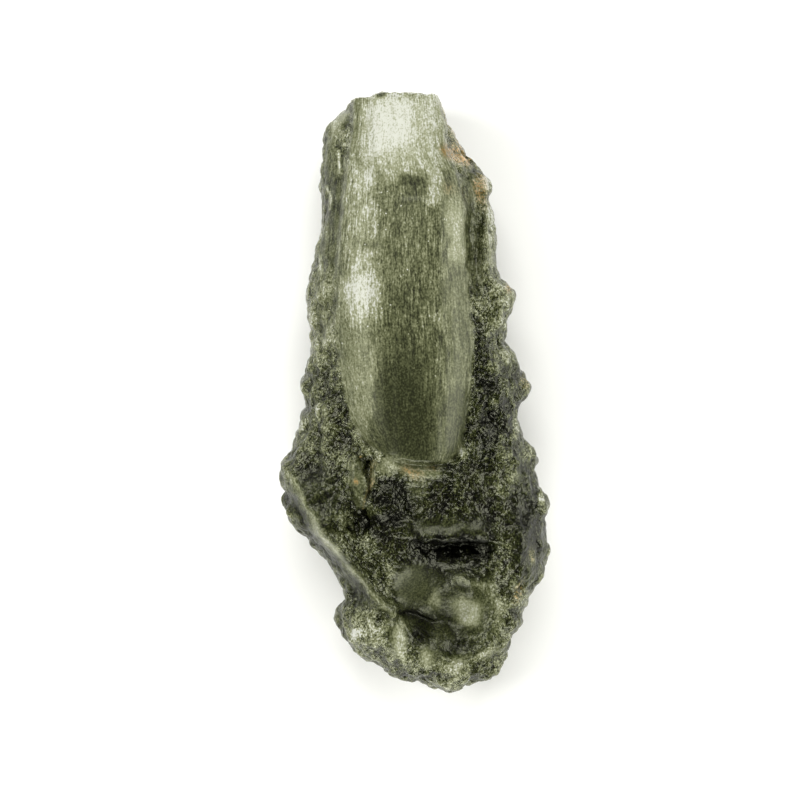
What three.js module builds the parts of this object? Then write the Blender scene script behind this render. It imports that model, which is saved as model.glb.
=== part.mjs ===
// A moldavite: one piece of green natural glass, lying on its flattened back.
// Most of its skin is etched into lumps and pits. A long smooth barrel-shaped face runs down from
// the narrow broken end, stops at a step, and below the step the stone is hollowed into a basin.
//
// Millimetres. +Z is up, +Y points to the narrow broken end, +X is the right side seen from above.
// The origin lies on the resting face, under the middle of the stone's length and width.
import * as THREE from "three";

const { clamp, lerp, smoothstep } = THREE.MathUtils;

// The grid that the surface is worked out on.
const ringsAlong = 88;
const pointsAround = 56;
const topCrowding = 0.3; // share by which the points crowd towards the top of each ring

// Outline seen from above, as [y, x] pairs from the broken end to the blunt end.
const leftEdge = [
  [20.3, -4.5], [18.3, -6.3], [12.0, -6.4], [9.2, -7.0], [7.0, -7.1], [3.0, -7.1], [-2.0, -7.6],
  [-5.5, -8.8], [-8.0, -8.7], [-9.6, -8.0], [-11.0, -6.6], [-13.5, -4.9], [-16.0, -4.9],
  [-18.0, -3.5], [-19.2, -2.0],
];
const rightEdge = [
  [20.3, 1.7], [18.3, 2.5], [15.5, 4.5], [11.5, 5.5], [8.5, 5.7], [6.8, 6.3], [3.8, 6.3], [1.2, 7.1],
  [-2.0, 7.2], [-6.0, 8.1], [-9.5, 8.9], [-12.0, 8.7], [-14.2, 7.7], [-16.4, 6.9], [-18.0, 6.0],
  [-19.2, 5.5],
];
const brokenCap = 0.4; // how far the broken end bulges past the first outline points
const bluntCap = 1.0; // how far the blunt end bulges past the last ones
const capShare = 0.12; // share of the rings that each end takes
// How far the broken end stands out across its width, as [x, y] pairs, and where that begins.
const brokenEdge = [
  [2.4, -0.3], [1.9, -0.25], [1.6, 0.15], [1.15, 0.24], [0.7, 0.0], [-0.8, 0.0], [-1.6, -0.05], [-2.2, 0.05],
  [-2.9, -0.1], [-4.6, -0.1],
];
const brokenEdgeStart = 18.8;

// Heights above the resting face, as [y, z] pairs.
const crownHeight = [
  [20.3, 6.4], [15.0, 7.7], [8.0, 8.4], [0.0, 8.7], [-6.0, 8.5], [-12.0, 7.7], [-19.2, 5.6],
];
const rimHeight = [[20.3, 3.4], [10.0, 4.2], [-8.0, 4.4], [-19.2, 3.2]];
const backDepth = 0.15; // how much of the rounded back is worn away by the resting face
const sideFullness = 0.85; // below 1 the rings are squarer than an ellipse
const domeFullness = 0.8;
const topStart = 0.15; // share of the rise where the carving of the top begins
const topFull = 0.55; // share of the rise where it is complete

// The smooth barrel-shaped face: its edges as [y, x], its crest and its fall to the edges as [y, z].
const barrel = {
  left: [
    [21.0, -4.3], [18.6, -4.35], [16.7, -4.6], [14.0, -4.9], [10.8, -5.2], [8.0, -5.4], [5.3, -5.5],
    [2.2, -5.2], [-1.3, -4.6], [-2.7, -3.95], [-3.7, -3.3], [-4.8, -2.4],
  ],
  right: [
    [21.0, 1.7], [18.5, 2.0], [16.7, 2.2], [15.0, 2.9], [13.4, 3.35], [11.4, 3.5], [8.2, 3.6],
    [5.2, 3.85], [2.9, 4.0], [0.0, 3.8], [-1.5, 3.6], [-3.2, 3.35], [-4.0, 3.1], [-4.8, 2.5],
  ],
  crest: [
    [21.0, 6.9], [18.2, 7.95], [15.8, 8.85], [14.8, 9.1], [10.0, 9.6], [4.0, 9.9], [-2.0, 9.8], [-5.5, 9.4],
  ],
  sideFall: [[21.0, 0.3], [17.0, 0.5], [13.0, 1.1], [8.0, 1.5], [-5.5, 1.5]],
  end: -4.75, // where the face stops at the step, at endAt across, curving up to both sides
  endAt: 1.0,
  endCurve: 0.06,
  reach: 1.2, // half widths over which the face keeps curving down
  edgeWidth: 0.6,
};

// Hollows in the top, each an ellipse: centre, half sizes, turn in degrees and depth.
const hollows = [
  { name: "basin", at: [2.6, -14.4], half: [4.0, 3.6], turn: 20, depth: 2.2 },
  { name: "groove beside the barrel", at: [4.1, 11.0], half: [0.7, 5.0], turn: 3, depth: 0.8 },
  { name: "pit left of the step", at: [-4.0, -8.6], half: [1.3, 1.9], turn: 35, depth: 1.0 },
  { name: "pit below the step", at: [0.0, -7.6], half: [1.2, 0.9], turn: -10, depth: 0.7 },
  { name: "trough above the bottom rim", at: [3.6, -17.6], half: [2.0, 0.8], turn: 6, depth: 0.5 },
  { name: "chip at the shoulder", at: [3.6, 16.6], half: [1.3, 1.3], turn: 40, depth: 0.9 },
];
const hollowFloor = 0.25; // share of a hollow's half size that is flat
const hollowBrim = 1.15; // share of it at which the hollow has run out

// Scarps in the top: steep to the right of a line, then rising again, deepest in the middle.
const scarps = [
  { name: "cliff under the ledge", from: [-0.6, -9.8], to: [6.2, -10.1], reach: 1.5, depth: 2.2 },
  { name: "drop at the ridge's foot", from: [-2.2, -14.7], to: [2.8, -16.2], reach: 1.2, depth: 1.2 },
];
const scarpWidth = 0.3; // how wide a scarp's steep side is

// Ridges on the top, each a straight crest from one point to another.
const ridges = [
  { name: "upper left ridge", from: [-8.6, -5.4], to: [-6.0, -9.6], width: 0.9, height: 0.8 },
  { name: "lower left ridge", from: [-6.0, -9.6], to: [-1.6, -15.2], width: 0.8, height: 1.1 },
  { name: "ledge over the pit", from: [0.6, -9.5], to: [5.0, -9.5], width: 0.7, height: 0.4 },
  { name: "splinter below the step", from: [-3.8, -4.5], to: [-3.9, -7.4], width: 0.55, height: 0.55 },
  { name: "lip of the step", from: [-1.6, -5.0], to: [2.4, -5.3], width: 0.5, height: 0.35 },
  { name: "right shoulder rim", from: [5.2, 14.6], to: [5.6, 6.0], width: 0.6, height: 0.5 },
  { name: "right flank rib", from: [4.6, 4.0], to: [6.9, -4.6], width: 0.4, height: 0.35 },
  { name: "right basin rim", from: [7.6, -9.0], to: [6.6, -16.0], width: 1.0, height: 0.7 },
];

// Single lumps that show in the outline or on the top: place, radius and how far they stand out.
const lumps = [
  { at: [-7.2, 6.6, 4.5], radius: 1.5, height: 0.3 },
  { at: [-7.4, 1.0, 4.5], radius: 1.1, height: 0.5 },
  { at: [-8.0, -1.6, 4.5], radius: 0.9, height: 0.5 },
  { at: [-8.6, -5.0, 4.5], radius: 1.2, height: 0.6 },
  { at: [-8.6, -7.8, 4.5], radius: 0.9, height: 0.3 },
  { at: [-4.6, -15.8, 4.0], radius: 1.4, height: 0.3 },
  { at: [-2.6, -17.4, 5.5], radius: 2.0, height: 1.1 },
  { at: [2.4, -20.2, 3.5], radius: 1.0, height: 0.7 },
  { at: [4.6, -19.2, 4.5], radius: 1.1, height: 0.4 },
  { at: [6.0, -18.0, 4.5], radius: 1.1, height: 0.5 },
  { at: [7.0, -16.0, 4.0], radius: 0.9, height: 0.5 },
  { at: [8.4, -12.2, 4.0], radius: 1.1, height: 0.3 },
  { at: [8.9, -10.0, 4.5], radius: 1.1, height: 0.3 },
  { at: [8.7, -7.2, 4.5], radius: 1.0, height: 0.6 },
  { at: [7.9, -4.3, 4.5], radius: 0.9, height: 0.7 },
  { at: [7.1, 1.2, 4.5], radius: 0.75, height: 0.65 },
  { at: [7.3, 0.2, 4.5], radius: 0.75, height: 0.65 },
  { at: [6.2, 6.8, 4.5], radius: 1.0, height: 0.6 },
  { at: [5.0, 14.6, 4.5], radius: 1.0, height: 0.4 },
];

// The etched skin: two sizes of closely packed lumps all over the rough parts.
const skin = [
  { cell: 2.3, height: 0.75, seed: 3 },
  { cell: 1.25, height: 0.4, seed: 8 },
];
const skinMiddle = 0.65; // the packed lumps' usual height, so that the skin pushes in as much as out

// Value at y of a smooth curve through [y, value] pairs that run down in y.
function along(points, y) {
  const last = points.length - 1;
  if (y >= points[0][0]) return points[0][1];
  if (y <= points[last][0]) return points[last][1];
  const i = points.findIndex((point) => y > point[0]) - 1;
  const slope = (k) => {
    const before = points[Math.max(k - 1, 0)];
    const after = points[Math.min(k + 1, last)];
    return (after[1] - before[1]) / (after[0] - before[0]);
  };
  const [y0, v0] = points[i];
  const [y1, v1] = points[i + 1];
  const span = y1 - y0;
  const t = (y - y0) / span;
  const ease = t * t * (3 - 2 * t);
  const leave = t * (1 - t) ** 2 * slope(i);
  const arrive = t * t * (t - 1) * slope(i + 1);
  return lerp(v0, v1, ease) + span * (leave + arrive);
}

// A repeatable number from 0 to 1 for each cell of space.
function scatter(i, j, k, seed) {
  const wave = Math.sin(i * 127.1 + j * 311.7 + k * 74.7 + seed * 53.3) * 43758.5453;
  return wave - Math.floor(wave);
}

// Height from about 0 to 1 of closely packed round lumps, with creases where they meet.
function packedLumps(point, cell, seed) {
  const [x, y, z] = point.toArray().map((value) => value / cell);
  let nearest = 4;
  for (let i = Math.floor(x) - 1; i <= Math.floor(x) + 1; i++)
    for (let j = Math.floor(y) - 1; j <= Math.floor(y) + 1; j++)
      for (let k = Math.floor(z) - 1; k <= Math.floor(z) + 1; k++) {
        const dx = i + scatter(i, j, k, seed) - x;
        const dy = j + scatter(i, j, k, seed + 1) - y;
        const dz = k + scatter(i, j, k, seed + 2) - z;
        nearest = Math.min(nearest, dx * dx + dy * dy + dz * dz);
      }
  return 1 - nearest;
}

// How far a point lies inside the barrel face's edges, as a share from 0 to 1.
function barrelShare(x, y) {
  const end = barrel.end + barrel.endCurve * (x - barrel.endAt) ** 2;
  const inside = Math.min(x - along(barrel.left, y), along(barrel.right, y) - x, y - end);
  return smoothstep(inside, -barrel.edgeWidth / 2, barrel.edgeWidth / 2);
}

function barrelHeight(x, y) {
  const left = along(barrel.left, y);
  const right = along(barrel.right, y);
  const across = clamp((2 * x - left - right) / (right - left), -barrel.reach, barrel.reach);
  return along(barrel.crest, y) - along(barrel.sideFall, y) * across ** 2;
}

// Depth at a point of an elliptical hollow with soft edges.
function hollowDepth({ at, half, turn, depth }, x, y) {
  const angle = THREE.MathUtils.degToRad(turn);
  const u = ((x - at[0]) * Math.cos(angle) + (y - at[1]) * Math.sin(angle)) / half[0];
  const v = ((y - at[1]) * Math.cos(angle) - (x - at[0]) * Math.sin(angle)) / half[1];
  return depth * (1 - smoothstep(Math.hypot(u, v), hollowFloor, hollowBrim));
}

// Depth at a point of a scarp: none to the left of its line, sudden to the right and then dying away.
function scarpDepth({ from, to, reach, depth }, x, y) {
  const dx = to[0] - from[0];
  const dy = to[1] - from[1];
  const t = clamp(((x - from[0]) * dx + (y - from[1]) * dy) / (dx * dx + dy * dy), 0, 1);
  const right = ((x - from[0]) * dy - (y - from[1]) * dx) / Math.hypot(dx, dy);
  const lens = 4 * t * (1 - t);
  return depth * smoothstep(right, 0, scarpWidth) * Math.exp(-((right / reach) ** 2)) * lens;
}

// Height at a point of a straight ridge that fades at its two ends and to its sides.
function ridgeHeight({ from, to, width, height }, x, y) {
  const dx = to[0] - from[0];
  const dy = to[1] - from[1];
  const t = clamp(((x - from[0]) * dx + (y - from[1]) * dy) / (dx * dx + dy * dy), 0, 1);
  const away = Math.hypot(x - from[0] - t * dx, y - from[1] - t * dy);
  return height * Math.exp(-((away / width) ** 2));
}

// The top of the stone at (x, y), from the plain dome's height there.
function carvedTop(x, y, dome) {
  let z = lerp(dome, barrelHeight(x, y), barrelShare(x, y));
  for (const ridge of ridges) z += ridgeHeight(ridge, x, y);
  for (const hollow of hollows) z -= hollowDepth(hollow, x, y);
  for (const scarp of scarps) z -= scarpDepth(scarp, x, y);
  return z;
}

// How far lumps and the etched skin push the surface out at a point.
function roughness(point, smooth) {
  let out = 0;
  for (const { cell, height, seed } of skin) out += height * (packedLumps(point, cell, seed) - skinMiddle);
  out *= 1 - smooth;
  for (const { at, radius, height } of lumps) {
    const away = Math.hypot(point.x - at[0], point.y - at[1], (point.z - at[2]) / 2);
    out += height * Math.exp(-((away / radius) ** 2));
  }
  return out;
}

// The ring at a share v of the way from the broken end to the blunt end.
function ringAt(v) {
  const first = leftEdge[0][0];
  const last = leftEdge[leftEdge.length - 1][0];
  const intoCap = Math.max(1 - v / capShare, 1 - (1 - v) / capShare, 0);
  const station = lerp(first, last, clamp((v - capShare) / (1 - 2 * capShare), 0, 1));
  const bulge = Math.sin((intoCap * Math.PI) / 2);
  return {
    station,
    y: station + bulge * (v < 0.5 ? brokenCap : -bluntCap),
    scale: Math.cos((intoCap * Math.PI) / 2),
    lengthwise: v < 0.5 ? bulge : -bulge,
  };
}

const signedPower = (value, power) => Math.sign(value) * Math.abs(value) ** power;

// The point of the finished surface for a direction of the unit sphere whose poles lie on Y.
function stonePoint(direction) {
  const ring = ringAt(Math.acos(clamp(direction.y, -1, 1)) / Math.PI);
  const turn = Math.atan2(direction.z, direction.x);
  const angle = turn + topCrowding * Math.cos(turn);
  const left = along(leftEdge, ring.station);
  const right = along(rightEdge, ring.station);
  const rim = along(rimHeight, ring.station);
  const halfWidth = (right - left) / 2;
  const rise = Math.sin(angle) > 0 ? along(crownHeight, ring.station) - rim : rim + backDepth;
  const side = ring.scale * signedPower(Math.cos(angle), sideFullness);
  const lift = ring.scale * signedPower(Math.sin(angle), domeFullness);
  const point = new THREE.Vector3((left + right) / 2 + halfWidth * side, ring.y, rim + rise * lift);
  point.y += along(brokenEdge, point.x) * smoothstep(point.y, brokenEdgeStart, leftEdge[0][0]);

  const upward = smoothstep(lift, topStart, topFull);
  const smooth = upward * barrelShare(point.x, point.y) * (1 - Math.abs(ring.lengthwise));
  const outward = new THREE.Vector3(side * rise, 0, lift * halfWidth).normalize();
  outward.multiplyScalar(ring.scale).setY(ring.lengthwise).normalize();
  const push = roughness(point, smooth);
  point.z = lerp(point.z, carvedTop(point.x, point.y, point.z), upward);
  point.addScaledVector(outward, push);
  point.z = Math.max(point.z, 0); // the worn resting face
  return point;
}

function stoneGeometry() {
  const geometry = new THREE.SphereGeometry(1, pointsAround, ringsAlong);
  const position = geometry.getAttribute("position");
  for (let i = 0; i < position.count; i++) {
    const direction = new THREE.Vector3().fromBufferAttribute(position, i);
    position.setXYZ(i, ...stonePoint(direction));
  }
  geometry.computeVertexNormals();
  return geometry;
}

const moldaviteGlass = new THREE.MeshStandardMaterial({ color: 0x5c6044, roughness: 0.35, metalness: 0 });

const stone = new THREE.Mesh(stoneGeometry(), moldaviteGlass);
stone.name = "moldavite";

const part = new THREE.Group();
part.add(stone);

export default part;
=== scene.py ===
# A moldavite: one piece of green natural glass lying on its flattened back, seen from straight above.
import itertools
import math

import bpy
import numpy as np
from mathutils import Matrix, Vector


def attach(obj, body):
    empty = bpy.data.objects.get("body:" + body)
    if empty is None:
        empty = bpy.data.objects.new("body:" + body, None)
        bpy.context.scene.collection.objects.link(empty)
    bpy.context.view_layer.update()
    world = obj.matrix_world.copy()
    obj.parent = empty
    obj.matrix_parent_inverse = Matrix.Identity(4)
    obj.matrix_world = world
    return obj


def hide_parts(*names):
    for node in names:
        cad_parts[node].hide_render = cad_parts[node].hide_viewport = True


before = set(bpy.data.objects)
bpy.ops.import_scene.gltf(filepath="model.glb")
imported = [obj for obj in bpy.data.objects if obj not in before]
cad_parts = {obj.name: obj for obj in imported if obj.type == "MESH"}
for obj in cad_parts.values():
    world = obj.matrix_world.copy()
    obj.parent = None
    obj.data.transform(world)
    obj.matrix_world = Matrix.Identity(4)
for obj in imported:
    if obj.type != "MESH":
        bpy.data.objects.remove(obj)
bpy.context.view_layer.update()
millimetre = 0.001  # the stone is worked out in millimetres, as it was measured
print("frame loaded, nodes:", sorted(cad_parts))

# The bare stone: the grid, the outline as (y, x) pairs, the heights as (y, z) pairs, all in mm.
stone = {
    "node": "moldavite",
    "body": "root",
    "slot": "moldavite_glass",
    "rings": 396,
    "around": 250,
    "topCrowding": 0.55,  # share by which the points crowd towards the top of each ring
    "leftEdge": [
        (20.3, -4.5), (18.3, -6.3), (12.0, -6.4), (9.2, -7.0), (7.0, -7.1), (3.0, -7.1), (-2.0, -7.6),
        (-5.5, -8.8), (-8.0, -8.7), (-9.6, -8.0), (-11.0, -6.6), (-13.5, -4.9), (-16.0, -4.9),
        (-18.0, -3.5), (-19.2, -2.0),
    ],
    "rightEdge": [
        (20.3, 1.7), (18.3, 2.5), (15.5, 4.5), (11.5, 5.5), (8.5, 5.7), (6.8, 6.3), (3.8, 6.3), (1.2, 7.1),
        (-2.0, 7.2), (-6.0, 8.1), (-9.5, 8.9), (-12.0, 8.7), (-14.2, 7.7), (-16.4, 6.9), (-18.0, 6.0),
        (-19.2, 5.5),
    ],
    "crown": [(20.3, 6.4), (15.0, 7.7), (8.0, 8.4), (0.0, 8.7), (-6.0, 8.5), (-12.0, 7.7), (-19.2, 5.6)],
    "rim": [(20.3, 3.4), (10.0, 4.2), (-8.0, 4.4), (-19.2, 3.2)],
    "brokenCap": 0.4,
    "brokenEdge": [  # how far the broken end stands out, as (x, y)
        (2.4, -0.3), (1.9, -0.25), (1.6, 0.15), (1.15, 0.24), (0.7, 0.0), (-0.8, 0.0), (-1.6, -0.05),
        (-2.2, 0.05), (-2.9, -0.1), (-4.6, -0.1),
    ],
    "brokenEdgeFrom": 18.8,  # the y from which the broken end takes that edge on
    "bluntCap": 1.0,
    "capShare": 0.08,  # share of the rings that each end takes
    "backDepth": 0.15,  # how much of the round back the resting face takes away
    "sideFullness": 0.85,  # powers of the ring's superellipse, across and upwards
    "domeFullness": 0.8,
    "top": (0.15, 0.55),  # shares of the rise between which the carving of the top sets in
    "flankTone": 0.33,  # the tone of the bare flanks, as in the marks below
}

# The smooth barrel-shaped face: edges as (y, x), crest and side fall as (y, z).
barrel = {
    "left": [
        (21.0, -4.3), (18.6, -4.35), (16.7, -4.6), (14.0, -4.9), (10.8, -5.2), (8.0, -5.4), (5.3, -5.5),
        (2.2, -5.2), (-1.3, -4.6), (-2.7, -3.95), (-3.7, -3.3), (-4.8, -2.4),
    ],
    "right": [
        (21.0, 1.7), (18.5, 2.0), (16.7, 2.2), (15.0, 2.9), (13.4, 3.35), (11.4, 3.5), (8.2, 3.6),
        (5.2, 3.85), (2.9, 4.0), (0.0, 3.8), (-1.5, 3.6), (-3.2, 3.35), (-4.0, 3.1), (-4.8, 2.5),
    ],
    "crest": [
        (21.0, 6.9), (18.2, 7.95), (15.8, 8.85), (14.8, 9.1), (10.0, 9.6), (4.0, 9.9), (-2.0, 9.8),
        (-5.5, 9.4),
    ],
    "sideFall": [(21.0, 0.3), (17.0, 0.6), (13.0, 1.4), (8.0, 1.9), (-5.5, 1.8)],
    "end": -4.75,  # the step at the face's foot, lowest at endAt and curving up to its sides
    "endAt": 1.0,
    "endCurve": 0.06,
    "reach": 1.2,  # how far from its middle, in half widths, the face's fall goes on
    "edgeWidth": 0.36,
    "smooth": (0.6, 1.0),  # shares of the face between which the etched skin gives way to smooth glass
    "halfWidth": 4.3,  # the usual half width, by which the flow lines are spread
    "tone": 0.5,
    "waves": [  # two sizes of flow lines and a slow swell, each with its cells across and along
        {"cells": (0.55, 5.0), "height": 0.05, "seed": 31},
        {"cells": (0.3, 2.5), "height": 0.03, "seed": 31},
        {"cells": (2.6, 4.5), "height": 0.12, "seed": 37},
    ],
}

# Single lumps that show in the outline or on the top: place, radius and height.
lumps = [
    ((-7.2, 6.6, 4.5), 1.5, 0.3), ((-7.4, 1.0, 4.5), 1.1, 0.5), ((-8.0, -1.6, 4.5), 0.9, 0.5),
    ((-8.6, -5.0, 4.5), 1.2, 0.6), ((-8.6, -7.8, 4.5), 0.9, 0.3), ((-4.6, -15.8, 4.0), 1.4, 0.3),
    ((-2.6, -17.4, 5.5), 2.0, 1.1), ((2.4, -20.2, 3.5), 1.0, 0.7), ((4.6, -19.2, 4.5), 1.1, 0.4),
    ((6.0, -18.0, 4.5), 1.1, 0.5), ((7.0, -16.0, 4.0), 0.9, 0.5), ((8.4, -12.2, 4.0), 1.1, 0.3),
    ((8.9, -10.0, 4.5), 1.1, 0.3), ((8.7, -7.2, 4.5), 1.0, 0.6), ((7.9, -4.3, 4.5), 0.9, 0.7),
    ((7.1, 1.2, 4.5), 0.75, 0.65), ((7.3, 0.2, 4.5), 0.75, 0.65), ((6.2, 6.8, 4.5), 1.0, 0.6),
    ((5.0, 14.6, 4.5), 1.0, 0.4),
]

# The etched skin: sizes of closely packed lumps. The two coarse ones push out of the ring, the fine ones
# out of the carved surface. onTop is the share of a fine one that is left where the skin faces up.
skin = {
    "coarse": [{"cell": 2.3, "height": 0.75, "seed": 3}, {"cell": 1.25, "height": 0.4, "seed": 8}],
    "fine": [
        {"cell": 0.85, "height": 0.42, "seed": 17, "onTop": 0.12},
        {"cell": 0.5, "height": 0.14, "seed": 13, "onTop": 0.9},
        {"cell": 0.3, "height": 0.08, "seed": 21, "onTop": 1.0},
    ],
    "middle": 0.65,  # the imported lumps' usual height
    "lumpTallness": 2.0,  # how many times farther a single lump reaches up and down than sideways
    "steep": (0.5, 0.9),  # the upward part of the way out, from a flank to the top
    "facing": (-0.05, 0.25),  # the same, from where no mark shows to where all of it does
    "scarpEdge": 0.36,  # how wide the steep rise of a scarp is
    "calm": (6.0, 11.0, 0.55),  # from and to which y the coarse skin dies down, and by how much
    "stretch": (1.0, 1.5, 1.0),  # the fine lumps are longer along the stone
    "sideSpeckle": 0.35,  # share of the tone's grain that is left on the steep sides and the back
    "formWarp": (1.7, 0.5),  # cell and amount by which the marks' forms and tones wander
    "toneWarp": (0.8, 0.45),
    "warpStretch": 1.3,  # how much longer those cells are along the stone
    "warpSeeds": (41, 43),
}

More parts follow.
